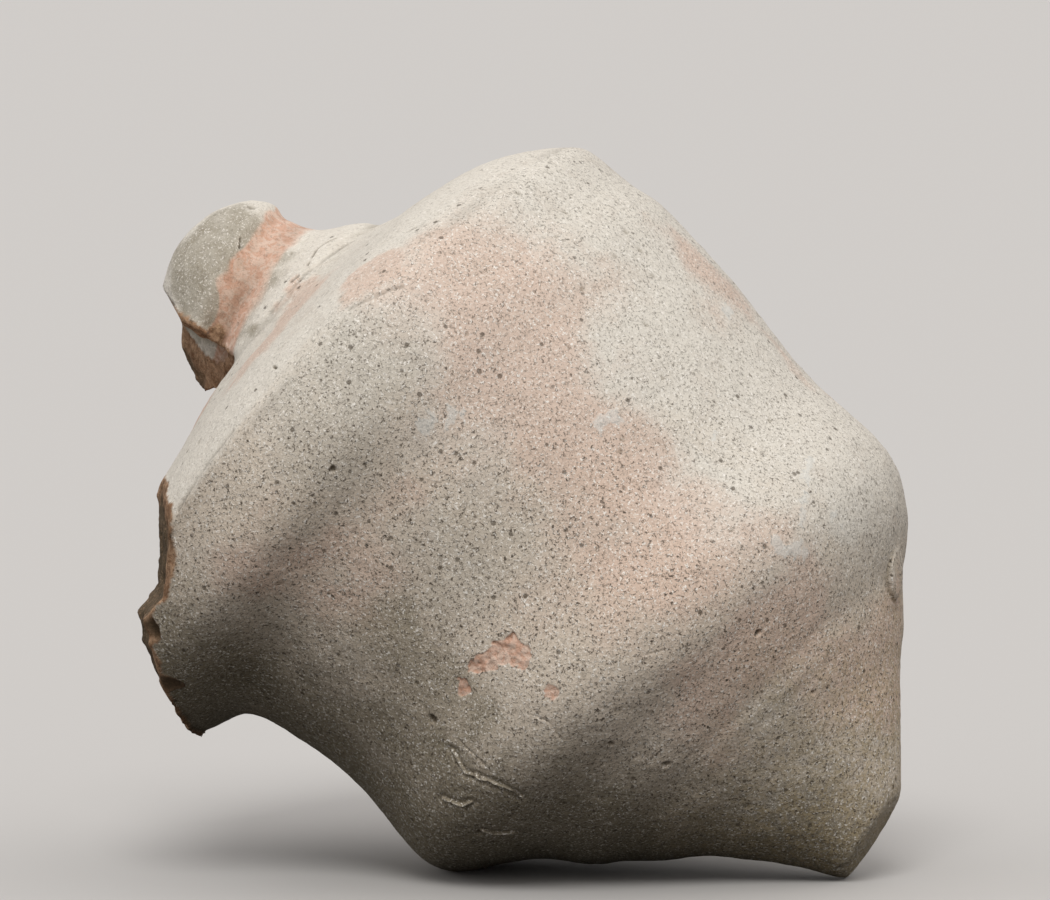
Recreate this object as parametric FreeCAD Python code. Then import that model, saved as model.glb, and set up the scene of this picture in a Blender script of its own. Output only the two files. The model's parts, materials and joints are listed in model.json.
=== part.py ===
"""Sphero-conical vessel of thick, unglazed fired clay, lying on its belly.

Millimetres and degrees. The vessel's middle plane is y = 0, the floor is z = 0,
and the mouth points up and to -x. The clay was thrown in five parts and luted
together while leather-hard, so each part is a solid of its own, and neighbours
meet in a stepped seam: a raised lip on one, a matching rebate in the other.

Nearly every section across the vessel is a ring. A ring stands at a height on
the vessel's axis, has a radius, drifts from the axis toward the floor side, and
leans: its own axis is turned away from the vessel's axis.
"""
import FreeCAD, Part
import math
import os

from FreeCAD import Placement, Rotation, Vector

# How the vessel lies
AXIS_RISE = 38.0
FOOT_X = 53.5
FOOT_Z = 6.2

# Rings of the outer surface: height, radius, drift, lean
FOOT_RING = (0.0, 7.4, 0.0, -6.0)
CONE_RING = (6.6, 12.9, -2.4, -3.0)
VALLEY_RING = (20.6, 25.8, -2.0, 6.5)
LOW_BELLY_RING = (25.6, 31.6, -2.0, 7.6)
UNDER_BELLY_RING = (32.0, 38.2, -1.1, 9.1)
BELLY_RING = (38.4, 43.7, 0.2, 9.0)
HIGH_BELLY_RING = (43.6, 44.4, -0.2, 8.5)
WAIST_RING = (50.0, 43.7, -1.0, 8.0)
FLANK_RING = (63.8, 44.4, -2.8, 6.0)
HIGH_FLANK_RING = (75.3, 46.1, -3.3, 3.5)
UNDERCUT_RING = (80.0, 47.6, -2.6, 2.2)
FLARE_RING = (84.8, 51.0, 1.0, 1.0)
RIM_RING = (92.4, 52.4, 2.7, 1.8)
SHOULDER_RING = (98.2, 51.8, 3.2, 2.6)
EAVE_RING = (101.4, 48.2, 3.2, 2.0)
PLATE_RING = (107.0, 34.4, 1.0, 1.6)
COLLAR_FOOT_RING = (111.4, 20.4, -2.3, 2.0)
COLLAR_STEP_RING = (112.6, 19.3, -2.3, -0.5)
COLLAR_WAIST_RING = (114.6, 15.8, -2.0, -6.0)
NECK_RING = (116.4, 14.2, -1.8, -12.0)

# Thickness of the clay
CONE_WALL = 11.5
WALL = 9.0
SHOULDER_WALL = 10.5
RIM_WALL = 12.5
PLATE_WALL = 7.5
PLATE_TAPER = 0.25
CAVITY_FLOOR = 17.0
CAVITY_TIP = 4.0

# Head: a low dome with a groove under it, on an axis of its own
HEAD_X = -40.4
HEAD_Z = 81.3
HEAD_RISE = 21.0
DOME_RADIUS = 15.0
DOME_HEIGHT = 10.8
DOME_LIP = 1.0
GROOVE_RADIUS = 13.4
NECK_SINK = 5.0

# Pouring channel and the small dish around the mouth
BORE_RADIUS = 2.5
BORE_REACH = 3 * PLATE_WALL
DISH_RADIUS = 4.2
DISH_DEPTH = 1.8

# Stepped seams: radius and height of the raised lip on the lower part
CONE_LIP = (19.2, 3.0)
SHOULDER_LIP = (45.0, 3.0)
COLLAR_LIP = (9.0, 2.0)
NECK_LIP = (7.5, 2.0)

# Break through the low side of the shoulder. Each outline is (across, up), in
# a frame turned about the upright, and lies at its own depth
BREAK_TURN = 15.0
BREAK_REACH = -95.0
NEAR_BREAK_DEPTH = -56.0
NEAR_BREAK = [
    (-47.5, 56.0), (-48.3, 42.0), (-51.7, 38.5), (-50.1, 35.0),
    (-47.9, 31.0), (-45.9, 25.0), (-45.5, 17.0), (-44.9, 4.0),
]
MIDDLE_BREAK_DEPTH = -12.6
MIDDLE_BREAK = [
    (-50.9, 56.0), (-51.3, 42.0), (-53.9, 38.5), (-53.3, 34.0),
    (-51.5, 29.0), (-49.1, 24.0), (-46.3, 18.5), (-44.9, 4.0),
]
FAR_BREAK_DEPTH = 54.0
FAR_BREAK = [
    (-47.4, 56.0), (-49.4, 42.0), (-50.5, 38.0), (-51.3, 34.0),
    (-48.9, 29.0), (-47.1, 24.0), (-45.4, 17.0), (-43.9, 4.0),
]

# Chip off the low side of the head, between a steep face and a ledge: which way
# each face looks, and how far it lies from the middle of the head
CHIP_FACE = Vector(-0.73, -0.65, -0.22)
CHIP_FACE_OUT = 6.3
CHIP_LEDGE = Vector(-0.45, -0.19, -0.87)
CHIP_LEDGE_OUT = 7.7

ROOM = 150.0


def place(origin, rise):
    """A frame in the middle plane whose third axis rises toward the mouth."""
    return Placement(origin, Rotation(Vector(0, 1, 0), rise - 90))


def along(rise, distance):
    """A step in the middle plane toward the mouth."""
    angle = math.radians(rise)
    return Vector(-math.cos(angle), 0, math.sin(angle)) * distance


def ring_place(ring):
    """The frame at a ring's centre, its third axis along the ring's own axis."""
    height, _, drift, lean = ring
    centre = Vector(FOOT_X, 0, FOOT_Z) + along(AXIS_RISE, height) + along(AXIS_RISE - 90, drift)
    return place(centre, AXIS_RISE + lean)


def ring_wire(ring):
    wire = Part.Wire(Part.makeCircle(ring[1]))
    wire.Placement = ring_place(ring)
    return wire


def loft(rings):
    """A closed solid through the rings."""
    return Part.makeLoft([ring_wire(ring) for ring in rings], True, False)


def inset(ring, wall):
    """The same ring on the inside of a wall."""
    height, radius, drift, lean = ring
    return (height, radius - wall, drift, lean)


def below(ring, wall):
    """A ring of the plate's underside, below one of its top and a little narrower."""
    height, radius, drift, lean = ring
    return (height - wall, radius - wall * PLATE_TAPER, drift, lean)


def raised(ring, lip):
    """The lip that stands up on a ring, inside the seam."""
    lip_radius, lip_height = lip
    shape = Part.makeCylinder(lip_radius, lip_height)
    shape.Placement = ring_place(ring)
    return shape


def make_head():
    """The dome, its lip and the stem that goes down into the collar."""
    stem = Part.makeCylinder(GROOVE_RADIUS, NECK_SINK, Vector(0, 0, -NECK_SINK))
    lip = Part.makeCone(GROOVE_RADIUS, DOME_RADIUS, DOME_LIP, Vector(0, 0, -DOME_LIP))
    ellipse = Part.Ellipse(Vector(), DOME_RADIUS, DOME_HEIGHT)
    quarter = Part.ArcOfEllipse(ellipse, 0, math.pi / 2).toShape()
    quarter.rotate(Vector(), Vector(1, 0, 0), 90)
    edges = [
        Part.makeLine(Vector(0, 0, 0), Vector(DOME_RADIUS, 0, 0)),
        quarter,
        Part.makeLine(Vector(0, 0, DOME_HEIGHT), Vector(0, 0, 0)),
    ]
    dome = Part.Face(Part.Wire(edges)).revolve(Vector(), Vector(0, 0, 1), 360)
    head = stem.fuse([lip, dome]).removeSplitter()
    head.Placement = place(Vector(HEAD_X, 0, HEAD_Z), HEAD_RISE)
    return head


def make_cavity():
    """The hollow inside: a cone at the foot, round flanks, a low roof."""
    tip = (CAVITY_FLOOR, CAVITY_TIP) + VALLEY_RING[2:]
    sides = [
        inset(VALLEY_RING, CONE_WALL),
        inset(LOW_BELLY_RING, (CONE_WALL + WALL) / 2),
        inset(BELLY_RING, WALL),
        inset(WAIST_RING, WALL),
        inset(FLANK_RING, WALL),
        inset(HIGH_FLANK_RING, WALL),
        inset(FLARE_RING, SHOULDER_WALL),
        inset(RIM_RING, RIM_WALL),
    ]
    roof = [below(PLATE_RING, PLATE_WALL), below(COLLAR_FOOT_RING, PLATE_WALL)]
    return loft([tip] + sides + roof)


def make_bore():
    """The narrow channel from the mouth down to the cavity, with its dish."""
    channel = Part.makeCylinder(BORE_RADIUS, BORE_REACH + DOME_HEIGHT, Vector(0, 0, -BORE_REACH))
    dish_floor = DOME_HEIGHT - DISH_DEPTH
    dish = Part.makeCone(BORE_RADIUS, DISH_RADIUS, DISH_DEPTH, Vector(0, 0, dish_floor))
    above = Part.makeCylinder(DISH_RADIUS, DISH_DEPTH, Vector(0, 0, DOME_HEIGHT))
    bore = channel.fuse([dish, above])
    bore.Placement = place(Vector(HEAD_X, 0, HEAD_Z), HEAD_RISE)
    return bore


def make_break():
    """The clay that is lost from the shoulder, bounded by jagged faces."""
    turn = Rotation(Vector(0, 0, 1), BREAK_TURN)
    outlines = []
    for depth, points in (
        (NEAR_BREAK_DEPTH, NEAR_BREAK),
        (MIDDLE_BREAK_DEPTH, MIDDLE_BREAK),
        (FAR_BREAK_DEPTH, FAR_BREAK),
    ):
        closed = points + [(BREAK_REACH, points[-1][1]), (BREAK_REACH, points[0][1])]
        corners = [turn.multVec(Vector(across, depth, up)) for across, up in closed]
        outlines.append(Part.makePolygon(corners + corners[:1]))
    return Part.makeLoft(outlines, True, True)


def beyond(face, out):
    """All that lies beyond a flat face on one side of the head."""
    block = Part.makeBox(ROOM, ROOM, ROOM, Vector(-ROOM / 2, -ROOM / 2, 0))
    centre = Vector(HEAD_X, 0, HEAD_Z) + Vector(face).normalize() * out
    block.Placement = Placement(centre, Rotation(Vector(0, 0, 1), face))
    return block


def make_chip():
    """The clay that is lost from the head."""
    return beyond(CHIP_FACE, CHIP_FACE_OUT).common(beyond(CHIP_LEDGE, CHIP_LEDGE_OUT))


def make_outsides():
    """The outside of each part, filled, with its lip, from the foot up."""
    cone = loft([FOOT_RING, CONE_RING, VALLEY_RING])
    belly = loft([
        VALLEY_RING, LOW_BELLY_RING, UNDER_BELLY_RING, BELLY_RING, HIGH_BELLY_RING, WAIST_RING,
        FLANK_RING, HIGH_FLANK_RING, UNDERCUT_RING, FLARE_RING, RIM_RING, SHOULDER_RING,
    ])
    plate = loft([SHOULDER_RING, EAVE_RING, PLATE_RING, COLLAR_FOOT_RING])
    collar = loft([COLLAR_FOOT_RING, COLLAR_STEP_RING, COLLAR_WAIST_RING, NECK_RING])
    return {
        "base_cone": cone.fuse(raised(VALLEY_RING, CONE_LIP)),
        "belly_wall": belly.fuse(raised(SHOULDER_RING, SHOULDER_LIP)),
        "shoulder_plate": plate.fuse(raised(COLLAR_FOOT_RING, COLLAR_LIP)),
        "neck_collar": collar.fuse(raised(NECK_RING, NECK_LIP)),
        "mouth_dome": make_head(),
    }


def make_parts():
    """Fit each part over the ones under it, hollow it, and take off what is broken."""
    floor = Part.makeBox(2 * ROOM, 2 * ROOM, ROOM, Vector(-ROOM, -ROOM, -ROOM))
    hollow = [make_cavity(), make_bore()]
    lost = {
        "belly_wall": make_break(),
        "shoulder_plate": make_break(),
        "neck_collar": make_chip(),
        "mouth_dome": make_chip(),
    }
    parts = {}
    under = []
    for name, outside in make_outsides().items():
        shape = outside.cut([floor] + under)
        under.append(outside)
        shape = shape.cut(hollow)
        parts[name] = shape.cut(lost[name]) if name in lost else shape
    return parts


def main():
    os.makedirs("parts", exist_ok=True)
    for name, shape in make_parts().items():
        solid = shape.Solids[0] if len(shape.Solids) == 1 else shape
        solid.exportStep(f"parts/{name}.step")
        box = solid.BoundBox
        print(
            name, "solids", len(shape.Solids), "valid", shape.isValid(), "volume", round(solid.Volume),
            "x", round(box.XMin, 1), round(box.XMax, 1), "z", round(box.ZMin, 1), round(box.ZMax, 1),
        )


main()
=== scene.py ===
# %% [markdown]
# A clay vessel with a domed mouth, a sharp shoulder and a pointed foot. It was thrown in five
# parts, luted together wet and fired without glaze. It lies on its belly, with part of its
# shoulder broken away. The solids give its size and its main shapes. This file gives it a
# skin: the grit, the pits, the rough breaks and the colours that firing and the ground left.

import itertools
import json
import math

import bmesh
import bpy
import numpy as np
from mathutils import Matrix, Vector
from mathutils.bvhtree import BVHTree
from mathutils.kdtree import KDTree

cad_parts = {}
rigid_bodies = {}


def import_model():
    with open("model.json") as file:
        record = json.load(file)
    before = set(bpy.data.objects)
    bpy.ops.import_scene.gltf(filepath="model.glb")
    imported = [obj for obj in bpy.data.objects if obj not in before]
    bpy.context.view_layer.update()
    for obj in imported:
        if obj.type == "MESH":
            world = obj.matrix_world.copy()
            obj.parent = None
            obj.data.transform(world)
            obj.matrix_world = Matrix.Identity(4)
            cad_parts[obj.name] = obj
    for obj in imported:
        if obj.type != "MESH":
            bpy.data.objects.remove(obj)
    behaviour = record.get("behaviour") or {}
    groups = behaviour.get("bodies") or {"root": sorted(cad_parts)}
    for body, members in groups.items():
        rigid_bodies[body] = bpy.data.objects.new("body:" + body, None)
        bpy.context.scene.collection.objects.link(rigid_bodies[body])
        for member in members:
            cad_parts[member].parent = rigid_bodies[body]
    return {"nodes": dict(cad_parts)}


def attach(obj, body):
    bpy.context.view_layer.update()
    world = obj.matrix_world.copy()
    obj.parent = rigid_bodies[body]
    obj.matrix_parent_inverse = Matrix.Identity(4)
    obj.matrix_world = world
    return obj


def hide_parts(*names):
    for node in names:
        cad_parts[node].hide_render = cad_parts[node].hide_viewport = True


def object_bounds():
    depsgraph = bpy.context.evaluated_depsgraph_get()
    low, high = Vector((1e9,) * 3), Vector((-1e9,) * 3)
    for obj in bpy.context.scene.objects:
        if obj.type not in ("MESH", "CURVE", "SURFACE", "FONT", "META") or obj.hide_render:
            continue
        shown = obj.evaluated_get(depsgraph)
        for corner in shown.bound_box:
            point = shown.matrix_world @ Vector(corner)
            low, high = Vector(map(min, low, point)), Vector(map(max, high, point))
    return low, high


for leftover in list(bpy.data.objects):
    bpy.data.objects.remove(leftover)
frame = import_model()
solid_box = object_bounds()
MM = 0.001
print("solids", sorted(frame["nodes"]))
print("box in mm", [[round(c / MM, 1) for c in p] for p in solid_box])

# %% [markdown]
# The camera stands a little to the right of the front and hardly above the floor, far away
# with a long lens, so lines that run away from it hardly close up. The same numbers turn a
# place in the picture into a line of sight, which is how single marks are put on the clay.

# %% The camera
PICTURE = (1050, 900)
AIM = Vector((2.2, 0, 60.2)) * MM
AZIMUTH = math.radians(15)
ELEVATION = math.radians(4.5)
DISTANCE = 1.5
PIXELS_PER_MM = 7.0

to_camera = Vector((
    math.sin(AZIMUTH) * math.cos(ELEVATION),
    -math.cos(AZIMUTH) * math.cos(ELEVATION),
    math.sin(ELEVATION),
))
to_right = Vector((math.cos(AZIMUTH), math.sin(AZIMUTH), 0))
to_top = to_camera.cross(to_right)

camera_data = bpy.data.cameras.new("camera")
camera_data.sensor_width = 36
camera_data.lens = 36 * PIXELS_PER_MM * DISTANCE / MM / PICTURE[0]
camera = bpy.data.objects.new("camera", camera_data)
camera.location = AIM + to_camera * DISTANCE
camera.rotation_euler = (-to_camera).to_track_quat("-Z", "Y").to_euler()
bpy.context.scene.collection.objects.link(camera)
bpy.context.scene.camera = camera
print("lens", round(camera_data.lens), "mm")


def toward(x, y):
    """The direction from the camera to a place in the picture."""
    across = (x - PICTURE[0] / 2) / PIXELS_PER_MM * MM
    up = (PICTURE[1] / 2 - y) / PIXELS_PER_MM * MM
    return (AIM + to_right * across + to_top * up - camera.location).normalized()


# %% [markdown]
# The five solids are parted by seams that a potter smears over, so the skin is made as one:
# copies of the solids are joined and given a new mesh of small even squares. The squares are
# about as wide as a coarse sand grain, fine enough to be moved into pits, chips and cracks.

# %% One skin over all the solids
GRID = 0.5 * MM


def joined(name, solids):
    """One mesh object with copies of the solids' faces."""
    work = bmesh.new()
    for solid in solids:
        work.from_mesh(solid.data)
    bmesh.ops.remove_doubles(work, verts=work.verts, dist=0.001 * MM)
    mesh = bpy.data.meshes.new(name)
    work.to_mesh(mesh)
    work.free()
    thing = bpy.data.objects.new(name, mesh)
    bpy.context.scene.collection.objects.link(thing)
    return thing


def with_modifiers(thing):
    """The object's mesh as its modifiers leave it. The object itself is removed."""
    bpy.context.view_layer.update()
    shown = thing.evaluated_get(bpy.context.evaluated_depsgraph_get())
    mesh = bpy.data.meshes.new_from_object(shown)
    bpy.data.objects.remove(thing)
    return mesh


block = joined("block", list(frame["nodes"].values()))
remesh = block.modifiers.new("even squares", "REMESH")
remesh.mode = "VOXEL"
remesh.voxel_size = GRID
skin = with_modifiers(block)
print("skin", len(skin.vertices), "points,", len(skin.polygons), "faces")


# %% [markdown]
# From here on the mesh is worked on as rows of numbers, one row for each point. That is how a
# few hundred thousand points can be moved quickly.

# %% Points as rows of numbers
def rows_of(mesh, what):
    """A vector for each of the mesh's points: its place, "co", or the way it faces, "normal"."""
    flat = np.empty(len(mesh.vertices) * 3, np.float32)
    mesh.vertices.foreach_get(what, flat)
    return flat.reshape(-1, 3).astype(float)


def move_to(mesh, rows):
    mesh.vertices.foreach_set("co", rows.astype(np.float32).ravel())
    mesh.update()


def ease(values, low, high):
    """0 below low, 1 above high, and a smooth rise between them."""
    part = np.clip((values - low) / (high - low), 0, 1)
    return part * part * (3 - 2 * part)


def edges_of(mesh):
    """The numbers of the two points that each edge joins."""
    pairs = np.empty(len(mesh.edges) * 2, np.int32)
    mesh.edges.foreach_get("vertices", pairs)
    return pairs.reshape(-1, 2).T


def smoothed(mesh, rows, rounds):
    """The points after each has moved, several times, half-way to the middle of its neighbours."""
    one, other = edges_of(mesh)
    count = np.bincount(np.concatenate((one, other)), minlength=len(rows))[:, None]
    for _ in range(rounds):
        total = np.empty_like(rows)
        for k in range(3):
            total[:, k] = np.bincount(one, rows[other, k], len(rows))
            total[:, k] += np.bincount(other, rows[one, k], len(rows))
        rows = (rows + total / count) / 2
    return rows


# %% [markdown]
# Two lines order everything on the vessel: its own axis, from the foot up through the belly,
# and the head's axis, which leans over more. Heights along them and distances from them say
# what a point belongs to.

# %% The two axes
FOOT = np.array((53.5, 0, 6.2)) * MM
FOOT_RISE = math.radians(38)
HEAD = np.array((-40.4, 0, 81.3)) * MM
HEAD_RISE = math.radians(21)


def along_axis(rows, origin, rise):
    """Height along an axis, distance from it, and the angle around it."""
    axis = np.array((-math.cos(rise), 0, math.sin(rise)))
    over = np.array((math.sin(rise), 0, math.cos(rise)))
    away = rows - origin
    height = away @ axis
    side = away[:, 1]
    above = away @ over
    return height, np.hypot(side, above), np.arctan2(side, above)


# %% [markdown]
# Clay is never even. A few kinds of randomness are enough to say how. Lumps rise and fall
# smoothly. Ridged lumps fold at zero, which gives the crests and hollows of broken clay. Pits
# are round and lie apart. All of them read the place in space, so they run across the seams,
# and each has a seed, so they come out the same every time.

# %% Steady randomness
def dice(cells, seed):
    """One steady random number from 0 to 1 for each whole-number cell."""
    x, y, z = cells.T
    mixed = (x * 73856093) ^ (y * 19349663) ^ (z * 83492791) ^ (seed * 2654435761)
    mixed = (mixed ^ (mixed >> 15)) * 2246822519 & 0xFFFFFFFF
    mixed = (mixed ^ (mixed >> 13)) * 3266489917 & 0xFFFFFFFF
    return (mixed ^ (mixed >> 16)) % 65536 / 65535


def lumps(rows, size, seed):
    """Smooth lumps from -1 to 1, each about as wide as size."""
    scaled = rows / size
    cells = np.floor(scaled).astype(np.int64)
    part = scaled - cells
    part = part * part * (3 - 2 * part)
    total = 0
    for corner in itertools.product((0, 1), repeat=3):
        share = np.where(corner, part, 1 - part).prod(axis=1)
        total = total + share * dice(cells + np.array(corner), seed)
    return 2 * total - 1


def rough(rows, size, seed, layers=3):
    """Lumps on lumps: each layer is half as wide and half as high as the one before."""
    total = 0
    for layer in range(layers):
        total = total + lumps(rows, size / 2**layer, seed + layer) / 2**layer
    return total


def ridged(rows, size, seed):
    """Sharp crests at 0, and hollows down to -1.5."""
    return -np.abs(lumps(rows, size, seed)) - np.abs(lumps(rows, size / 2, seed + 1)) / 2


def pitted(rows, spacing, share, radius, seed):
    """Round pits, 0 outside and 1 at the deepest. A share of the cells, spacing wide, has one."""
    scaled = rows / spacing
    cells = np.floor(scaled).astype(np.int64)
    depth = np.zeros(len(rows))
    for step in itertools.product((-1, 0, 1), repeat=3):
        near = cells + np.array(step)
        chosen = np.flatnonzero(dice(near, seed + 5) < share)
        near = near[chosen]
        middle = near + np.stack([dice(near, seed + k) for k in (1, 2, 3)], axis=1)
        size = radius * (0.4 + 0.6 * dice(near, seed + 4))
        far = np.linalg.norm(scaled[chosen] - middle, axis=1) * spacing / size
        depth[chosen] = np.maximum(depth[chosen], np.clip(1 - far * far, 0, 1))
    return depth


# %% [markdown]
# The breaks. Part of the shoulder is lost along a steep jagged face that crosses the vessel, and
# a wedge has split off under the dome, between a steep face and a ledge. Two functions tell how
# far any point lies behind these faces, in the clay that is left.

# %% Where the clay is broken
BREAK_TURN = math.radians(15)
BREAK_TOP = 58 * MM
BREAK_UP = np.array((56, 42, 38.5, 34.5, 30, 25, 17.5, 4)) * MM
BREAK_DEPTHS = np.array((-56, -12.6, 54)) * MM
BREAK_ACROSS = np.array((
    (-47.5, -48.3, -51.7, -50.1, -47.9, -45.9, -45.5, -44.9),
    (-50.9, -51.3, -53.9, -53.3, -51.5, -49.1, -46.3, -44.9),
    (-47.4, -49.4, -50.5, -51.3, -48.9, -47.1, -45.4, -43.9),
)) * MM
INTO_BREAK = np.array((math.cos(BREAK_TURN), math.sin(BREAK_TURN), 0))
CHIP_FACE = np.array((-0.73, -0.65, -0.22))
CHIP_FACE_OUT = 6.3 * MM
CHIP_LEDGE = np.array((-0.45, -0.19, -0.87))
CHIP_LEDGE_OUT = 7.7 * MM


def behind_break(rows):
    """How far each point lies behind the face of the break."""
    depth = rows[:, 1] * math.cos(BREAK_TURN) - rows[:, 0] * math.sin(BREAK_TURN)
    up = rows[:, 2]
    near, middle, far = (np.interp(up, BREAK_UP[::-1], edge[::-1]) for edge in BREAK_ACROSS)
    first = np.clip((depth - BREAK_DEPTHS[0]) / (BREAK_DEPTHS[1] - BREAK_DEPTHS[0]), 0, 1)
    second = np.clip((depth - BREAK_DEPTHS[1]) / (BREAK_DEPTHS[2] - BREAK_DEPTHS[1]), 0, 1)
    return rows @ INTO_BREAK - near - (middle - near) * first - (far - middle) * second


def behind_chip(rows):
    """How far each point lies behind the chip's two faces, and the way out of the nearer one."""
    face = CHIP_FACE / np.linalg.norm(CHIP_FACE)
    ledge = CHIP_LEDGE / np.linalg.norm(CHIP_LEDGE)
    behind_face = CHIP_FACE_OUT - (rows - HEAD) @ face
    behind_ledge = CHIP_LEDGE_OUT - (rows - HEAD) @ ledge
    nearer = (behind_face > behind_ledge)[:, None]
    return np.maximum(behind_face, behind_ledge), np.where(nearer, face, ledge)


def by_the_chip(rows):
    """True on the dome and on the collar just under it."""
    height, radius, _ = along_axis(rows, HEAD, HEAD_RISE)
    return (height > -8 * MM) & (radius < 16.5 * MM)


# %% [markdown]
# Before anything is roughened, the stepped edges left by the squares are smoothed away and the
# sharp edges of the solids become the soft ones of worn clay. Broken edges are younger and stay
# sharper, so near them the smoothing is only light.

# %% Worn edges
SHARP_WITHIN = 2.5 * MM
LIGHT_ROUNDS = 4
MORE_ROUNDS = 14

rows = rows_of(skin, "co")
lightly = smoothed(skin, rows, LIGHT_ROUNDS)
well = smoothed(skin, lightly, MORE_ROUNDS)
from_break = np.where(rows[:, 2] < BREAK_TOP, np.abs(behind_break(rows)), 1)
from_chip = np.where(by_the_chip(rows), np.abs(behind_chip(rows)[0]), 1)
wear = ease(np.minimum(from_break, from_chip), 0.6 * SHARP_WITHIN, SHARP_WITHIN)[:, None]
worn = lightly + (well - lightly) * wear
farthest = float(np.linalg.norm(worn - rows, axis=1).max() / MM)
print("moved by wear, at most", round(farthest, 2), "mm")
move_to(skin, worn)

# %% [markdown]
# Under the belly the potter ran a finger round to join it to the foot, which left a broad
# hollow. The solids meet there in a crease, so the points near it are smoothed again, far more
# often. To save time only the edges near the crease are worked on, and the rest stays put.

# %% The hollow above the foot
HOLLOW_AT = 20.6 * MM
HOLLOW_REACH = 11 * MM
HOLLOW_ROUNDS = 220
OUTSIDE_FROM = 15 * MM

rows = rows_of(skin, "co")
height, radius, _ = along_axis(rows, FOOT, FOOT_RISE)
soft = 1 - ease(np.abs(height - HOLLOW_AT), 0.35 * HOLLOW_REACH, HOLLOW_REACH)
soft *= radius > OUTSIDE_FROM
one, other = edges_of(skin)
near = (soft[one] > 0) | (soft[other] > 0)
band, ends = np.unique(np.concatenate((one[near], other[near])), return_inverse=True)
first, second = ends[:near.sum()], ends[near.sum():]
count = np.bincount(ends, minlength=len(band))[:, None]
hollow = rows[band]
for _ in range(HOLLOW_ROUNDS):
    total = np.empty_like(hollow)
    for k in range(3):
        total[:, k] = np.bincount(first, hollow[second, k], len(band))
        total[:, k] += np.bincount(second, hollow[first, k], len(band))
    hollow += (total / count - hollow) * 0.5 * soft[band, None]
farthest = float(np.linalg.norm(hollow - rows[band], axis=1).max() / MM)
print("hollow moved by", round(farthest, 2), "mm")
rows[band] = hollow
move_to(skin, rows)

# %% [markdown]
# Single marks are placed by where they are in the picture: the line of sight through that
# place meets the skin at a point. A mark longer than a pit is a row of such points, and what
# counts is each point's distance from the line that joins them.

# %% From the picture to the clay
thing = bpy.data.objects.new("skin", skin)
bpy.context.scene.collection.objects.link(thing)
bpy.context.view_layer.update()
clay_tree = BVHTree.FromObject(thing, bpy.context.evaluated_depsgraph_get())
bpy.data.objects.remove(thing)


def on_clay(x, y):
    """The point of the skin that is seen at a place in the picture."""
    return np.array(clay_tree.ray_cast(camera.location, toward(x, y))[0])


def in_picture(rows):
    """Where each point is in the picture, across and down."""
    away = rows - np.array(camera.location)
    scale = PIXELS_PER_MM / MM * DISTANCE / -(away @ np.array(to_camera))
    across = PICTURE[0] / 2 + scale * (away @ np.array(to_right))
    return across, PICTURE[1] / 2 - scale * (away @ np.array(to_top))


def from_mark(rows, places):
    """Each point's distance from the line through these places in the picture."""
    corners = [on_clay(*place) for place in places]
    nearest = np.linalg.norm(rows - corners[0], axis=1)
    for start, end in itertools.pairwise(corners):
        span = end - start
        part = np.clip((rows - start) @ span / (span @ span), 0, 1)[:, None]
        nearest = np.minimum(nearest, np.linalg.norm(rows - start - part * span, axis=1))
    return nearest


def near_marks(rows, marks, width, soft):
    """1 within width of any of the marks, fading to 0 over soft."""
    found = np.zeros(len(rows))
    for places in marks:
        found = np.maximum(found, 1 - ease(from_mark(rows, places), width, width + soft))
    return found


print("the middle of the picture shows the clay at", (on_clay(525, 450) / MM).round(1), "mm")

# %% [markdown]
# The marks that the picture shows, one by one. Places are in the picture's own pixels, from
# its top left corner, and the sizes beside them are in millimetres on the clay. They are kept
# in lists, so that adding or moving a mark is one line.

# %% Every mark and its place
SPALLS = (
    (((478, 664), (492, 658), (504, 652)), 1.3 * MM),
    (((512, 650), (519, 655)), 1.5 * MM),
    (((462, 690),), 0.8 * MM),
    (((550, 691),), 1.1 * MM),
)
RIDGES = (
    ((451, 751), (456, 762), (464, 774), (476, 777), (490, 782), (504, 789), (521, 799)),
    ((442, 801), (452, 805), (461, 807), (470, 803)),
    ((482, 831), (494, 834), (514, 833)),
)
SCRATCHES = (
    ((461, 741), (473, 755), (485, 766)),
    ((533, 715), (545, 722), (563, 743)),
    ((350, 311), (336, 328)),
    ((603, 668), (634, 657), (668, 650)),
)
CRACKS = (
    ((335, 235), (328, 238), (315, 247), (305, 263)),
    ((296, 274), (288, 280)),
    ((290, 326), (281, 333)),
    ((283, 344), (274, 352), (269, 358)),
    ((269, 364), (277, 367)),
    ((413, 225), (403, 230)),
    ((241, 236), (241, 247)),
)
CREASES = (
    ((232, 431), (205, 465), (188, 490), (175, 511)),
    ((352, 238), (330, 250), (300, 275), (268, 312)),
    ((400, 287), (372, 296), (350, 309)),
)
PITS = (
    ((432, 720), 0.9 * MM),
    ((479, 834), 0.8 * MM),
    ((611, 745), 0.7 * MM),
    ((665, 765), 0.9 * MM),
    ((811, 692), 0.6 * MM),
    ((625, 488), 0.6 * MM),
    ((252, 204), 1.2 * MM),
    ((333, 470), 0.5 * MM),
    ((757, 632), 0.5 * MM),
)
CRUSTS = (
    (((426, 424), (440, 420), (456, 414)), 1.2 * MM),
    (((728, 312), (733, 307)), 0.9 * MM),
    (((812, 458), (806, 480), (803, 505), (800, 525)), 0.35 * MM),
    (((780, 545), (792, 551), (803, 549)), 1.0 * MM),
    (((604, 424), (616, 418)), 1.1 * MM),
    (((700, 434), (716, 436)), 0.6 * MM),
    (((835, 515), (845, 523)), 0.6 * MM),
)
ALL_MARKS = (SPALLS, RIDGES, SCRATCHES, CRACKS, CREASES, PITS, CRUSTS)
print("marks", sum(len(marks) for marks in ALL_MARKS))

# %% [markdown]
# The hollow inside can only be seen through the mouth. Its wall is kept, so the vessel is a
# real pot and not a block, but with few large faces. A point is on the inside if the widest
# point at the same height and on the same side is much further from the axis.

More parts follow.
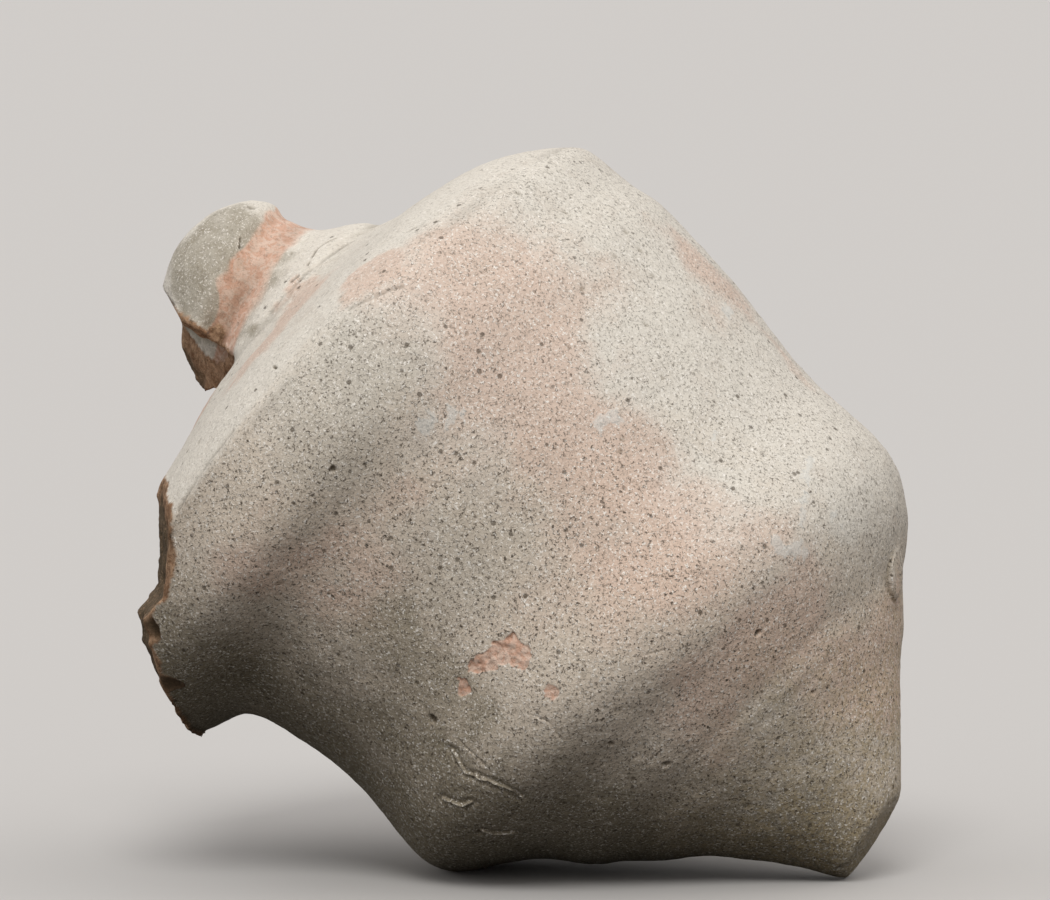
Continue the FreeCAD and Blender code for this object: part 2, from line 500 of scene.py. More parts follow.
# %% A plain inside
WALL = 6 * MM
INSIDE_FROM = 8 * MM
INSIDE_TO = 108 * MM
LEVELS = 141
SECTOR = math.radians(5)


def on_the_inside(rows):
    """True on the wall of the hollow."""
    height, radius, turn = along_axis(rows, FOOT, FOOT_RISE)
    level = np.clip((height / MM).astype(int), 0, LEVELS - 1)
    sector = ((turn + math.pi) / SECTOR).astype(int)
    widest = np.zeros((LEVELS, sector.max() + 1))
    np.maximum.at(widest, (level, sector), radius)
    deep = radius < widest[level, sector] - WALL
    return deep & (height > INSIDE_FROM) & (height < INSIDE_TO)


SHARE_TAKEN_OUT = 0.97

inside = on_the_inside(rows_of(skin, "co"))
thing = bpy.data.objects.new("skin", skin)
bpy.context.scene.collection.objects.link(thing)
group = thing.vertex_groups.new(name="inside")
group.add(np.flatnonzero(inside).tolist(), 1.0, "REPLACE")
thin_out = thing.modifiers.new("fewer faces inside", "DECIMATE")
thin_out.vertex_group = "inside"
thin_out.ratio = 1 - SHARE_TAKEN_OUT * float(inside.mean())
skin = with_modifiers(thing)
print("skin", len(skin.vertices), "points after the inside is thinned out")

# %% [markdown]
# A crack is narrower than the squares of the skin. Around the cracks, spalls, ridges and pits
# each square is cut into nine, so that they come out as thin as they are.

# %% Finer squares around the marks
FINE_WITHIN = 1.1 * MM

rows = rows_of(skin, "co")
marks = [places for places, width in SPALLS] + [(place,) for place, radius in PITS]
nearest = np.full(len(rows), 1.0)
for places in (*marks, *RIDGES, *SCRATCHES, *CRACKS, *CREASES):
    nearest = np.minimum(nearest, from_mark(rows, places))
for places, width in SPALLS:
    nearest = np.minimum(nearest, from_mark(rows, places) - width)
one, other = edges_of(skin)
close = np.flatnonzero((nearest[one] < FINE_WITHIN) | (nearest[other] < FINE_WITHIN))
work = bmesh.new()
work.from_mesh(skin)
work.edges.ensure_lookup_table()
bmesh.ops.subdivide_edges(work, edges=[work.edges[k] for k in close], cuts=2, use_grid_fill=True)
work.to_mesh(skin)
work.free()
print("skin", len(skin.vertices), "points with the finer squares")


# %% [markdown]
# Which of the five parts a face belongs to is read from the nearest solid. A search tree over
# all the solids' faces finds it quickly.

# %% Five parts in one skin
NODES = ("base_cone", "belly_wall", "shoulder_plate", "neck_collar", "mouth_dome")


def nearest_part(places):
    """The number of the part that each place is nearest to."""
    corners, faces, owner = [], [], []
    for number, node in enumerate(NODES):
        mesh = frame["nodes"][node].data
        first = len(corners)
        corners.extend(corner.co.copy() for corner in mesh.vertices)
        faces.extend([first + k for k in face.vertices] for face in mesh.polygons)
        owner.extend([number] * len(mesh.polygons))
    tree = BVHTree.FromPolygons(corners, faces)
    return np.array([owner[tree.find_nearest(place)[2]] for place in places])


middles = np.empty(len(skin.polygons) * 3, np.float32)
skin.polygons.foreach_get("center", middles)
part_of_face = nearest_part(middles.reshape(-1, 3).tolist())
print("faces of each part", dict(zip(NODES, np.bincount(part_of_face).tolist())))

# %% [markdown]
# A point whose faces belong to two parts lies on a seam. All other points get their distance
# from the nearest of those, because the smeared clay beside a seam shows it too.

# %% Seams between the parts
corner_count = np.empty(len(skin.polygons), np.int32)
point_at = np.empty(len(skin.loops), np.int32)
skin.polygons.foreach_get("loop_total", corner_count)
skin.loops.foreach_get("vertex_index", point_at)
part_at_corner = np.repeat(part_of_face, corner_count)

lowest_part = np.full(len(skin.vertices), len(NODES))
highest_part = np.zeros(len(skin.vertices), int)
np.minimum.at(lowest_part, point_at, part_at_corner)
np.maximum.at(highest_part, point_at, part_at_corner)


def tree_over(places):
    """A search tree that finds the nearest of these places."""
    tree = KDTree(len(places))
    for number, place in enumerate(places.tolist()):
        tree.insert(place, number)
    tree.balance()
    return tree


rows = rows_of(skin, "co")
seam_tree = tree_over(rows[lowest_part != highest_part])
from_seam = np.array([seam_tree.find(place)[2] for place in rows.tolist()])
print("points on a seam", int((lowest_part != highest_part).sum()))

# %% [markdown]
# Fired clay breaks with a coarse, crumbling surface. The points near each broken face are
# pushed further in, to an uneven depth. Since only points that lie too shallow are moved, the
# skin around the break is cut back as well, and its edge comes out ragged.

# %% Crumbled breaks
def crumble(rows, size, seed):
    """A depth in millimetres that varies as sharply as broken clay."""
    steps = -1.1 * ridged(rows, size, seed) - 0.5 * ridged(rows, size / 3, seed + 5)
    return np.clip(steps + 0.25 * lumps(rows, size / 8, seed + 9), 0, 3)


BITES = (
    ((152, 630), 3.0, 2.6),
    ((172, 684), 2.6, 2.4),
    ((160, 540), 2.0, 0.9),
)

rows = rows_of(skin, "co")
gap = behind_break(rows)
depth = crumble(rows, 12 * MM, 61) * MM + 0.6 * MM * (1 + lumps(rows, 20 * MM, 67))
for place, width, extra in BITES:
    depth += extra * MM * (1 - ease(from_mark(rows, (place,)), 0.2 * width * MM, width * MM))
by_break = (rows[:, 2] < BREAK_TOP) & (gap < 6 * MM)
deeper = np.where(by_break, np.clip(depth - gap, 0, None), 0)
rows = rows + INTO_BREAK * deeper[:, None]
on_break = by_break & (behind_break(rows) < depth + 0.3 * MM)
print("points on the break", int(on_break.sum()))

# %% [markdown]
# The chip off the dome is crumbled in the same way, a little finer. What counts as broken there
# is the clay just behind its two faces, the underside of the ledge, and the middle of the chip
# as the picture shows it.

# %% The chip under the dome
CHIP_MIDDLE = ((198, 350), (206, 372), (226, 362))

gap, way_out = behind_chip(rows)
depth = 0.6 * crumble(rows, 7 * MM, 71) * MM
by_chip = by_the_chip(rows) & (gap > -1 * MM)
deeper = np.where(by_chip, np.clip(depth - gap, 0, None), 0)
rows = rows - way_out * deeper[:, None]
under_dome = rows_of(skin, "normal") @ (CHIP_LEDGE / np.linalg.norm(CHIP_LEDGE)) > 0.35
under_dome &= gap < 4 * MM
in_chip = near_marks(rows, (CHIP_MIDDLE,), 2.4 * MM, 0.4 * MM) > 0.5
just_behind = behind_chip(rows)[0] < depth + 0.5 * MM
on_chip = by_chip & (just_behind | under_dome | in_chip)
print("points on the chip", int(on_chip.sum()))

# %% [markdown]
# At the low end of the dome's outline the picture shows a corner worn off. The lines of sight
# through two places on that outline span a plane. Clay beyond it is pressed back onto it, but
# only near that corner: the plane goes on for ever and would cut the rest of the vessel too.

# %% The worn corner of the dome
WORN_CORNER = ((165, 291), (184, 326))
CORNER_MIDDLE = (166, 306)
CORNER_REACH = (18, 42)
ABOVE_COLLAR = -3 * MM
NEAR_AXIS = 8 * MM

first, second = (np.array(toward(*place)) for place in WORN_CORNER)
off = np.cross(first, second)
off = off / np.linalg.norm(off) * math.copysign(1, off @ -np.array(to_right))
out = (rows - np.array(camera.location)) @ off
across, down = in_picture(rows)
from_corner = np.hypot(across - CORNER_MIDDLE[0], down - CORNER_MIDDLE[1])
by_corner = 1 - ease(from_corner, *CORNER_REACH)
by_corner *= along_axis(rows, HEAD, HEAD_RISE)[0] > ABOVE_COLLAR
rows = rows - off * (np.clip(out, 0, None) * by_corner)[:, None]

broken = (on_break | on_chip) & (along_axis(rows, FOOT, FOOT_RISE)[1] > NEAR_AXIS)
broken = broken.astype(float)
move_to(skin, rows)
print("corner worn off by", round(float((out * by_corner).max() / MM), 1), "mm")

# %% [markdown]
# A spall is a flake that came off and bared the pink clay. A ridge is a crumb of clay dragged
# over the wet surface: it stands up, with a furrow beside it. Cracks opened as the luted parts
# dried. White crusts are lime from the ground, and hardly stand out at all. Each mark gets a
# ragged edge by adding small lumps to the distance.

# %% Marks in the clay
ragged = 0.7 * MM * rough(rows, 1.5 * MM, 81, 3)
spall = np.zeros(len(rows))
for places, width in SPALLS:
    spall = np.maximum(spall, 1 - ease(from_mark(rows, places) + ragged, width, width + 0.3 * MM))
crust = np.zeros(len(rows))
for places, width in CRUSTS:
    patchy = 2.6 * MM * np.abs(rough(rows, 2.2 * MM, 85, 3))
    crust = np.maximum(crust, 1 - ease(from_mark(rows, places) + patchy, width, width + 1.6 * MM))
pit = np.zeros(len(rows))
for place, radius in PITS:
    pit = np.maximum(pit, 1 - ease(from_mark(rows, (place,)) + ragged / 2, 0, radius))
wavy = rows + 0.35 * MM * np.stack([lumps(rows, 2.5 * MM, 91 + k) for k in range(3)], axis=1)
broken_up = ease(rough(rows, 2.2 * MM, 97, 2), -0.7, 0.1)
crack = near_marks(wavy, CRACKS, 0.03 * MM, 0.26 * MM) * broken_up
ridge = near_marks(wavy, RIDGES, 0.03 * MM, 0.38 * MM) * (0.5 + 0.5 * broken_up)
furrow = near_marks(wavy, RIDGES, 0.5 * MM, 0.8 * MM) - ridge
scratch = near_marks(wavy, SCRATCHES, 0.02 * MM, 0.3 * MM) * broken_up
print("points in spalls", int((spall > 0.5).sum()), "in crusts", int((crust > 0.5).sum()))

# %% [markdown]
# The hand-made unevenness: slow waves from the potter's hands, finer lumps where the clay was
# wiped, shallow rings from the wheel on the shoulder, and pits where grains fell out or air
# was caught. Where the parts were luted, the smeared seam shows here and there as a groove.
# Nearly everything goes inward, so the vessel doesn't grow.

# %% Hand work and turning
CHANNEL = 3.4 * MM

facing = rows_of(skin, "normal")
height, radius, around = along_axis(rows, FOOT, FOOT_RISE)
outer = 1 - on_the_inside(rows).astype(float)
outer[along_axis(rows, HEAD, HEAD_RISE)[1] < CHANNEL] = 0
on_plate = ease(height, 98 * MM, 101 * MM)

wheel = height / (0.95 * MM) + 2.2 * lumps(rows, 25 * MM, 101)
rings = np.sin(wheel) * (0.25 + 0.75 * on_plate)
seam = 1 - ease(from_seam + 0.5 * MM * lumps(rows, 6 * MM, 103), 0.2 * MM, 1.7 * MM)
seam *= ease(rough(rows, 14 * MM, 105, 2), -0.3, 0.5)
bent = rows + 0.5 * MM * np.stack([lumps(rows, 1.6 * MM, 111 + k) for k in range(3)], axis=1)
big_pits = pitted(bent, 11 * MM, 0.3, 0.9 * MM, 107)
big_pits *= ease(lumps(rows, 30 * MM, 109), -0.4, 0.4)
small_pits = pitted(bent, 3.2 * MM, 0.3, 0.6 * MM, 117)
grit_relief = lumps(rows, 1.1 * MM, 127) + 0.6 * lumps(rows, 0.7 * MM, 129)

relief = 0.30 * rough(rows, 24 * MM, 121, 2) + 0.12 * rough(rows, 6 * MM, 125, 3) - 0.25
relief += 0.03 * rings - 0.1 * seam - 0.4 * big_pits - 0.2 * small_pits + 0.045 * grit_relief
relief += 0.3 * ridge - 0.25 * furrow - 0.18 * scratch - 0.5 * crack - 0.6 * pit
relief += spall * (-0.22 + 0.2 * rough(rows, 0.8 * MM, 131, 2)) + 0.06 * crust
relief -= 0.2 * near_marks(wavy, CREASES, 0.1 * MM, 0.6 * MM)
print("relief from", round(float(relief.min()), 2), "to", round(float(relief.max()), 2), "mm")

# %% [markdown]
# A few forms that the picture shows are broader than any mark: the soft hollow above the foot
# with a swell on both sides, lower on one side of the vessel than on the other, and places on
# the head where the clay bulges or was pressed in. They are added before the relief moves the
# skin along the way it faces. Whatever would stand out of the solids' box is pushed back in.

# %% Swells and bulges
VALLEY_MIDDLE = 22.8
VALLEY_TILT = 2.6
PUSHES = (
    (((176, 262),), 9, 0.55),
    (((196, 226),), 9, 0.35),
    (((182, 300),), 6, -0.3),
)


def swell(at, width):
    """1 at a height along the axis, fading to both sides."""
    return np.exp(-((height / MM - at) / width) ** 2)


valley_at = VALLEY_MIDDLE - VALLEY_TILT * np.cos(around)
relief += 0.35 * swell(valley_at - 4.2, 2.4) - 0.4 * swell(valley_at, 1.9)
relief += 0.4 * swell(valley_at + 5.5, 3.2)
for places, width, outward in PUSHES:
    relief += outward * (1 - ease(from_mark(rows, places), 0, width * MM))
relief *= outer * (1 - broken)

rows = rows + facing * (relief * MM)[:, None]
low, high = (np.array(corner) for corner in solid_box)
rows = np.clip(rows, low, high)
move_to(skin, rows)
print("with swells from", round(float(relief.min()), 2), "to", round(float(relief.max()), 2), "mm")

# %% [markdown]
# The clay is cream towards the top of the lying vessel and olive-grey towards its low side; the
# bare clay is buff and blushes pink, and some pale patches are painted highlights. Each
# of these is a mask from 0 to 1, kept on the points of the mesh so that a material can read it.
# Large patches are placed as the marks were: a row of places in the picture, and how many
# millimetres the patch is full and how many it reaches, with a drifting edge.

# %% Patches seen in the picture
BLUSHES = (
    (((500, 300), (540, 400), (600, 500), (640, 540)), 2, 24),
    (((690, 255), (800, 370)), -2, 10),
    (((890, 640), (840, 640), (770, 650), (700, 700)), -2, 14),
    (((300, 560), (360, 540)), -2, 14),
)
GREYS = (
    (((390, 350), (340, 440)), -3, 14),
    (((274, 206), (284, 216)), -2, 3),
    (((500, 500), (470, 560)), -2, 18),
    (((800, 770), (770, 790)), -1, 14),
)
OLIVES = (
    (((400, 640), (440, 700), (420, 780)), 2, 16),
    (((200, 262), (190, 300)), 3, 9),
)
# Painted highlight: pale bands where the light falls brightest, over the top and down the right
# flank.
HIGHLIGHT_PATCHES = (
    (((560, 190), (640, 300), (760, 420)), 0, 26),
    (((440, 260), (560, 170)), 0, 18),
    (((690, 480), (840, 460)), 0, 18),
)
WARM_SPOTS = (
    (((386, 269), (352, 294)), -1, 4),
    (((293, 276),), -1, 3),
    (((300, 300), (262, 345)), -2, 6),
)


def broad(marks, seed):
    """Large soft patches with drifting edges."""
    drift = 9 * MM * rough(rows, 13 * MM, seed, 5)
    found = np.zeros(len(rows))
    for places, inner, outside in marks:
        away = from_mark(rows, places) + drift
        found = np.maximum(found, 1 - ease(away, inner * MM, outside * MM))
    return found


print("patches", len(BLUSHES) + len(GREYS) + len(OLIVES) + len(HIGHLIGHT_PATCHES) + len(WARM_SPOTS))

# %% [markdown]
# The masks themselves. High and low on the lying vessel decide between cream and olive, and
# clouds of randomness drift over the sides that the picture doesn't show. Dents and crests are
# found by comparing the skin with a smoother copy of itself; the dents get painted shade. The
# cracks, creases, pits and the break's deep bites get painted shade as well, and the seams a
# darker line.

# %% Where each tone lies
DENT_ROUNDS = 16

facing = rows_of(skin, "normal")
proud = ((rows - smoothed(skin, rows, DENT_ROUNDS)) * facing).sum(axis=1) / MM
cloud = rough(rows, 36 * MM, 151, 4) / 1.9
patch = rough(rows, 10 * MM, 161, 3) / 1.75
up = (rows[:, 2] + 0.35 * rows[:, 0]) / MM
front = ease(-(rows @ np.array(to_camera)) / MM, -10, 10)
head_height = along_axis(rows, HEAD, HEAD_RISE)[0]
on_head = ease(height, 108 * MM, 112 * MM)
band = head_height + 0.9 * MM * rough(rows, 5 * MM, 165, 3)
groove = ease(band, -8.0 * MM, -4.6 * MM) * (1 - ease(band, -0.9 * MM, 0.1 * MM)) * on_head

# The pale tone: cream towards the top, with the painted highlight patches laid in.
pale = np.maximum(ease(up + 18 * cloud + 8 * patch, 48, 92), broad(HIGHLIGHT_PATCHES, 171))
pale = np.maximum(pale, on_plate * ease(up + 14 * cloud + 6 * patch, 0, 60))
olive = ease(-up + 18 * cloud - 8 * patch, -38, -6)
olive = np.maximum(olive, 0.6 * broad(OLIVES, 187))
grey = np.maximum(broad(GREYS, 175), front * ease(cloud - 0.4 * patch, 0.15, 0.6))
blush = np.maximum(broad(BLUSHES, 179), front * ease(-cloud + 0.4 * patch, 0.15, 0.6))
blush = np.maximum(blush * (1 - 0.75 * on_plate), broad(WARM_SPOTS, 183))
sandy = ease(-height / MM + 8 * patch, -30, -8)
# Painted shade: darker where the skin lies below a smoother copy of itself.
dent_shade = ease(-proud, 0.015, 0.16)
crests = ease(proud, 0.04, 0.3)
crease = near_marks(wavy, CREASES, 0.03 * MM, 0.5 * MM)
deep_bites = [(place,) for place, _, _ in BITES[:2]]
bite = near_marks(rows, deep_bites, 1.2 * MM, 1.6 * MM) * broken
# Painted shade: darker in the cracks, creases, pits and the break's deep bites, and a darker line
# along the seams.
shade_in_hollows = crack + 0.4 * crease + bite + 0.8 * pit + 0.6 * big_pits + 0.35 * small_pits + 0.25 * seam
shade_in_hollows = np.clip(shade_in_hollows, 0, 1)
print("pale", round(float(pale.mean()), 2), "olive", round(float(olive.mean()), 2))

# %% [markdown]
# On a break the colour goes in layers: orange-brown where air reached the clay in the kiln,
# and a greyer core. That follows the distance from the unbroken skin.

# %% Layers in the break
one, other = edges_of(skin)
rim_points = np.unique(one[(broken[one] > 0.5) != (broken[other] > 0.5)])
rim_tree = tree_over(rows[rim_points])
from_rim = np.zeros(len(rows))
for k in np.flatnonzero(broken > 0.5):
    from_rim[k] = rim_tree.find(rows[k].tolist())[2]
core = broken * ease(from_rim + 2.5 * MM * rough(rows, 5 * MM, 181, 2), 1.5 * MM, 5 * MM)
print("widest half of the break", round(float(from_rim.max() / MM), 1), "mm")

on_dome = ease(head_height, -2 * MM, 0)
TONES = {
    "pale": pale,
    "olive": olive,
    "grey": grey,
    "blush": blush,
    "sandy": sandy,
    "orange": np.clip(groove + spall, 0, 1),
    "broken": broken,
    "core": core,
    "shade_in_hollows": shade_in_hollows,
    "dent_shade": dent_shade,
    "crests": crests,
    "crust": crust,
    "plate": np.maximum(on_plate, on_head * (1 - on_dome)),
}

# %% [markdown]
# The skin is now cut into its five parts, because each of the five solids is a piece of its own.
# A cut along the faces would show as a line of light, so each part keeps the shading that its
# points have in the whole skin.


# %% Five parts
def part_of_skin(number):
    """The faces of one part as a mesh of its own, with the skin's shading and tones."""
    chosen = part_of_face == number
    corners = point_at[np.repeat(chosen, corner_count)]
    kept, renumbered = np.unique(corners, return_inverse=True)
    count = corner_count[chosen]
    mesh = bpy.data.meshes.new(NODES[number])
    mesh.vertices.add(len(kept))
    mesh.loops.add(len(corners))
    mesh.polygons.add(len(count))
    mesh.vertices.foreach_set("co", rows[kept].astype(np.float32).ravel())
    mesh.loops.foreach_set("vertex_index", renumbered.astype(np.int32))
    mesh.polygons.foreach_set("loop_start", (np.cumsum(count) - count).astype(np.int32))
    mesh.update(calc_edges=True)
    mesh.normals_split_custom_set_from_vertices(facing[kept].tolist())
    for tone, values in TONES.items():
        layer = mesh.attributes.new(tone, "FLOAT", "POINT")
        layer.data.foreach_set("value", values[kept].astype(np.float32))
    return mesh


PIECES = {}
SLOTS = ("base_clay", "belly_clay", "shoulder_clay", "neck_clay", "mouth_clay")
for number, (node, slot_name) in enumerate(zip(NODES, SLOTS)):
    piece = bpy.data.objects.new(node + "_skin", part_of_skin(number))
    bpy.context.scene.collection.objects.link(piece)
    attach(piece, "root")
    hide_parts(node)
    PIECES[node] = piece
print("faces", {name: len(piece.data.polygons) for name, piece in PIECES.items()})


# %% [markdown]
# Materials are written as sums. One small class stands for a socket: adding or multiplying it
# makes the Math node. Another holds a tree of nodes and has one method for any other node.

# %% Sums of sockets
class Value:
    """A socket that sums can be written with."""

    def __init__(self, finish, socket):
        self.finish = finish
        self.socket = socket

    def maths(self, operation, one, other):
        return self.finish.node("ShaderNodeMath", {"operation": operation}, {0: one, 1: other})

    def __add__(self, other):
        return self.maths("ADD", self, other)

    def __sub__(self, other):
        return self.maths("SUBTRACT", self, other)

    def __rsub__(self, other):
        return self.maths("SUBTRACT", other, self)

    def __mul__(self, other):
        return self.maths("MULTIPLY", self, other)

    __radd__ = __add__
    __rmul__ = __mul__


class Finish:
    """A tree of nodes that a finish is built in."""

    def __init__(self, owner):
        owner.use_nodes = True
        self.owner = owner
        self.tree = owner.node_tree
        self.tree.nodes.clear()

    def node(self, kind, settings=None, sockets=None, out=None):
        """Adds a node: its settings first, then its sockets. Gives its first output, or out."""
        made = self.tree.nodes.new(kind)
        for name, value in (settings or {}).items():
            setattr(made, name, value)
        for name, value in (sockets or {}).items():
            by_name = (s for s in made.inputs if s.enabled and s.name == name)
            into = made.inputs[name] if isinstance(name, int) else next(by_name)
            if isinstance(value, Value):
                self.tree.links.new(value.socket, into)
            else:
                into.default_value = value
        outputs = [s for s in made.outputs if s.enabled and out in (None, s.name)]
        return Value(self, outputs[0]) if outputs else None

    def tone(self, name):
        """One of the masks on the points of the mesh."""
        return self.node("ShaderNodeAttribute", {"attribute_name": name}, out="Fac")

    def between(self, value, low, high):
        """0 where the value is low, 1 where it is high, and a smooth rise between them."""
        sockets = {"Value": value, "From Min": low, "From Max": high}
        return self.node("ShaderNodeMapRange", {"interpolation_type": "SMOOTHSTEP"}, sockets)

    def blend(self, share, colour, other):
        """A colour that goes over into another as the share goes from 0 to 1."""
        sockets = {"Factor": share, "A": colour, "B": other}
        return self.node("ShaderNodeMix", {"data_type": "RGBA"}, sockets)

    def tinted(self, share, colour, other):
        """A colour that is multiplied by another as the share goes from 0 to 1."""
        settings = {"data_type": "RGBA", "blend_type": "MULTIPLY"}
        return self.node("ShaderNodeMix", settings, {"Factor": share, "A": colour, "B": other})


def paint(red, green, blue):
    """A colour as mixed on screen, 0 to 255, turned into amounts of light."""
    parts = (c / 255 for c in (red, green, blue))
    return tuple(p / 12.92 if p <= 0.04045 else ((p + 0.055) / 1.055) ** 2.4 for p in parts) + (1,)


# %% [markdown]
# The clay. Its ground colour goes from buff to cream, pink, olive or grey by the masks. Over
# that lies what the real one shows when looked at closely: blotches some millimetres wide, a
# pepper of sand grains a fraction of a millimetre wide, light grains among them, and single
# dark bits of mineral. The grains also stand up a little, which the bump shows.

# %% The palette
CREAM = paint(228, 221, 208)
BUFF = paint(216, 201, 182)
PINK = paint(222, 192, 172)
OLIVE = paint(134, 124, 102)
GREY = paint(184, 178, 164)
SAND = paint(186, 166, 128)
ORANGE = paint(214, 166, 140)
PALE_ORANGE = paint(228, 198, 178)
BREAK_BROWN = paint(142, 108, 80)
BREAK_LIGHT = paint(206, 170, 138)
BREAK_CORE = paint(112, 94, 72)
# The colour of dark grit and mineral bits, and also of the painted shade in cracks, creases, pits
# and the break's bites.
DARK_GRIT_AND_SHADE = paint(78, 66, 48)
PEPPER = paint(88, 78, 66)
LIGHT_GRAIN = paint(252, 246, 236)
LIME = paint(226, 225, 218)
print("buff in amounts of light", [round(part, 3) for part in BUFF[:3]])

# %% [markdown]
# One function builds the clay for every part. Noise nodes give the blotches and the grains,
# with some distortion, because plain noise lines up with the axes and its grains turn into
# short dashes. The colours are then laid over each other in this order: the clay, the firing,
# the sand, the breaks, the painted shade in dents and hollows, and last the lime from the ground.


# %% The clay
def clay(name, grit):
    """The vessel's clay. Grit says how strongly its sand shows."""
    f = Finish(bpy.data.materials.new(name))
    place = f.node("ShaderNodeTexCoord", out="Object")
    to_mm = {"Vector": place, "Scale": 1 / MM}
    in_mm = f.node("ShaderNodeVectorMath", {"operation": "SCALE"}, to_mm)

    def noise(size, detail=2.0, roughness=0.5):
        return f.node("ShaderNodeTexNoise", {}, {
            "Vector": in_mm,
            "Scale": 1 / size,
            "Detail": detail,
            "Roughness": roughness,
            "Distortion": 0.8,
        })

    blotch = noise(7, 6, 0.7)
    mottle = noise(1.5, 4, 0.65)
    grains = noise(0.42, 3, 0.7)
    other_grains = noise(0.36, 2, 0.65)
    spots = {"Vector": in_mm, "Scale": 0.42, "Randomness": 1.0}
    spot_middle = f.node("ShaderNodeTexVoronoi", {}, spots, out="Distance")
    spot_colour = f.node("ShaderNodeTexVoronoi", {}, spots, out="Color")
    spot_chance = f.node("ShaderNodeSeparateColor", {}, {"Color": spot_colour})
    ragged_spot = spot_middle + 0.35 * grains
    mineral = f.between(ragged_spot, 0.34, 0.27) * f.between(spot_chance, 0.70, 0.75)
    pepper = f.between(grains, 0.50, 0.66)
    salt = f.between(other_grains, 0.55, 0.68)

    # The pale tone turns the clay cream, and paints the highlight patches.
    body = f.blend(f.between(f.tone("pale") + 1.1 * blotch, 0.35, 1.45), BUFF, CREAM)
    body = f.blend(0.7 * f.between(f.tone("blush") + 1.2 * blotch, 0.55, 1.6), body, PINK)
    body = f.blend(0.4 * f.between(f.tone("grey") + 1.2 * blotch, 0.55, 1.7), body, GREY)
    body = f.blend(0.9 * f.between(f.tone("olive") + 0.9 * blotch, 0.4, 1.5), body, OLIVE)
    body = f.blend(0.6 * f.tone("sandy") * f.between(mottle, 0.35, 0.6), body, SAND)
    body = f.blend(0.35 * f.tone("crests"), body, CREAM)
    peppery = grit * (1 - 0.4 * f.tone("plate")) * (1 - 0.3 * f.tone("pale"))
    body = f.blend(pepper * (0.35 + 1.3 * mottle) * peppery, body, PEPPER)
    body = f.blend(salt * (1.4 - mottle) * grit, body, LIGHT_GRAIN)
    body = f.blend(0.7 * mineral, body, DARK_GRIT_AND_SHADE)
    bared = f.blend(f.between(mottle, 0.4, 0.6), ORANGE, PALE_ORANGE)
    bared = f.blend(0.3 * pepper, bared, DARK_GRIT_AND_SHADE)
    body = f.blend(0.85 * f.between(f.tone("orange") + 0.5 * mottle, 0.35, 1.05), body, bared)
    core = f.blend(f.between(mottle, 0.35, 0.65), BREAK_CORE, DARK_GRIT_AND_SHADE)
    layer = f.blend(f.between(mottle + 0.5 * blotch, 0.6, 1.0), BREAK_BROWN, BREAK_LIGHT)
    layer = f.blend(f.tone("core"), layer, core)
    layer = f.blend(0.6 * pepper, layer, DARK_GRIT_AND_SHADE)
    layer = f.blend(0.5 * salt, layer, BREAK_LIGHT)
    body = f.blend(f.tone("broken"), body, layer)
    # Painted shade: the dents are darkened with a grey multiply.
    body = f.tinted(0.5 * f.tone("dent_shade"), body, GREY)
    # Painted shade in the cracks, creases, pits and the break's deep bites, in the dark grit
    # colour.
    body = f.blend(0.8 * f.tone("shade_in_hollows"), body, DARK_GRIT_AND_SHADE)
    lime = f.between(f.tone("crust") + 0.9 * grains, 0.75, 1.25)
    body = f.blend(0.5 * lime, body, LIME)

    height = grains + 0.8 * other_grains + 1.8 * mottle - 1.2 * mineral
    bump = {"Strength": 0.7, "Distance": 0.16 * MM, "Height": height}
    shader = f.node("ShaderNodeBsdfPrincipled", {}, {
        "Base Color": body,
        "Roughness": 0.82 + 0.14 * mottle,
        "Specular IOR Level": 0.25,
        "Normal": f.node("ShaderNodeBump", {}, bump),
    })
    f.node("ShaderNodeOutputMaterial", {}, {"Surface": shader})
    return f.owner


GRIT = {
    "base_cone": 1.0,
    "belly_wall": 1.0,
    "shoulder_plate": 0.8,
    "neck_collar": 0.7,
    "mouth_dome": 0.8,
}
for node, piece in PIECES.items():
    piece.data.materials.append(clay(node + "_clay", GRIT[node]))
print("materials", [piece.data.materials[0].name for piece in PIECES.values()])

# %% [markdown]
# The floor is plain and pale and far wider than the view. Only what the camera sees of it is
# that pale. To the light that bounces up under the vessel it is darker, as a cloth would be,
# so the low side stays as dark as it is in the photograph.

# %% The floor
FLOOR_REACH = 8
FLOOR_SEEN = paint(200, 197, 193)
FLOOR_BOUNCE = paint(78, 76, 74)

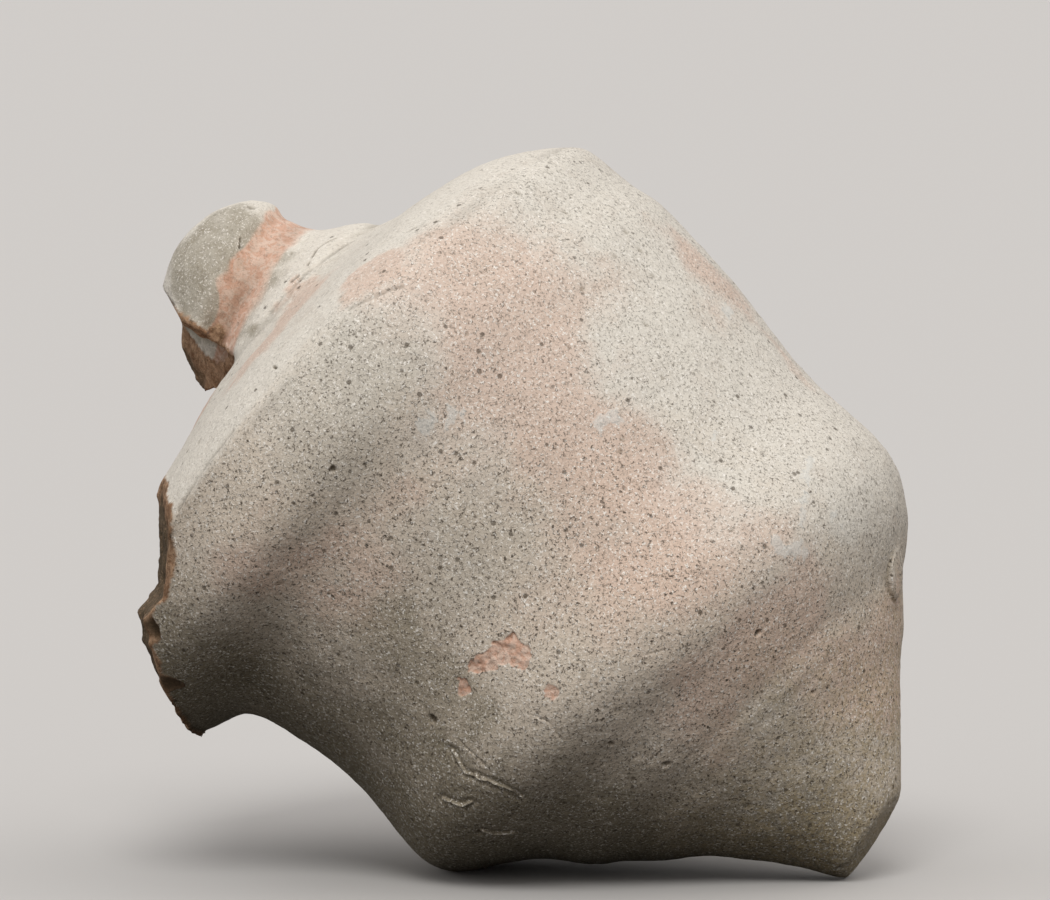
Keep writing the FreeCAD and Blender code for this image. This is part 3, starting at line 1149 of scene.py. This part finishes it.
floor_mesh = bpy.data.meshes.new("floor")
floor_mesh.from_pydata(
    [(x * FLOOR_REACH, y * FLOOR_REACH, 0) for x, y in ((-1, -1), (1, -1), (1, 1), (-1, 1))],
    [],
    [(0, 1, 2, 3)],
)
floor = bpy.data.objects.new("floor", floor_mesh)
bpy.context.scene.collection.objects.link(floor)
f = Finish(bpy.data.materials.new("pale floor"))
seen = f.node("ShaderNodeLightPath", out="Is Camera Ray")
floor_colour = f.blend(seen, FLOOR_BOUNCE, FLOOR_SEEN)
floor_sockets = {"Base Color": floor_colour, "Roughness": 0.9}
floor_shader = f.node("ShaderNodeBsdfPrincipled", {}, floor_sockets)
f.node("ShaderNodeOutputMaterial", {}, {"Surface": floor_shader})
floor_mesh.materials.append(f.owner)
print("floor", 2 * FLOOR_REACH, "m wide")

# %% [markdown]
# The photograph's light is very soft: bright from all of the space above, as under a large
# cloth, with a weak lamp high in front of the vessel that shapes the belly. From below the
# level of the floor hardly any light comes. Both are far away, so they light the floor evenly.

# %% The light
LAMP_AZIMUTH = math.radians(12)
LAMP_ELEVATION = math.radians(44)
FROM_ABOVE = 0.8
BACKDROP = 0.8

lamp = bpy.data.lights.new("wide lamp", "SUN")
lamp.energy = 1.4
lamp.angle = math.radians(24)
lamp_side = bpy.data.objects.new("wide lamp", lamp)
lamp_side.rotation_euler = Vector((
    math.sin(LAMP_AZIMUTH) * math.cos(LAMP_ELEVATION),
    -math.cos(LAMP_AZIMUTH) * math.cos(LAMP_ELEVATION),
    math.sin(LAMP_ELEVATION),
)).to_track_quat("Z", "Y").to_euler()
bpy.context.scene.collection.objects.link(lamp_side)

world = bpy.data.worlds.new("light from above")
bpy.context.scene.world = world
w = Finish(world)
looking = w.node("ShaderNodeTexCoord", out="Generated")
upward = w.node("ShaderNodeSeparateXYZ", {}, {"Vector": looking}, out="Z")
seen = w.node("ShaderNodeLightPath", out="Is Camera Ray")
strength = BACKDROP * seen + (1 - seen) * FROM_ABOVE * w.between(upward, -0.1, 0.3)
sky = {"Color": paint(252, 250, 250), "Strength": strength}
background = w.node("ShaderNodeBackground", {}, sky)
w.node("ShaderNodeOutputWorld", {}, {"Surface": background})
bpy.context.scene.view_settings.view_transform = "Standard"
print("lamp", lamp.energy, "from above", FROM_ABOVE)
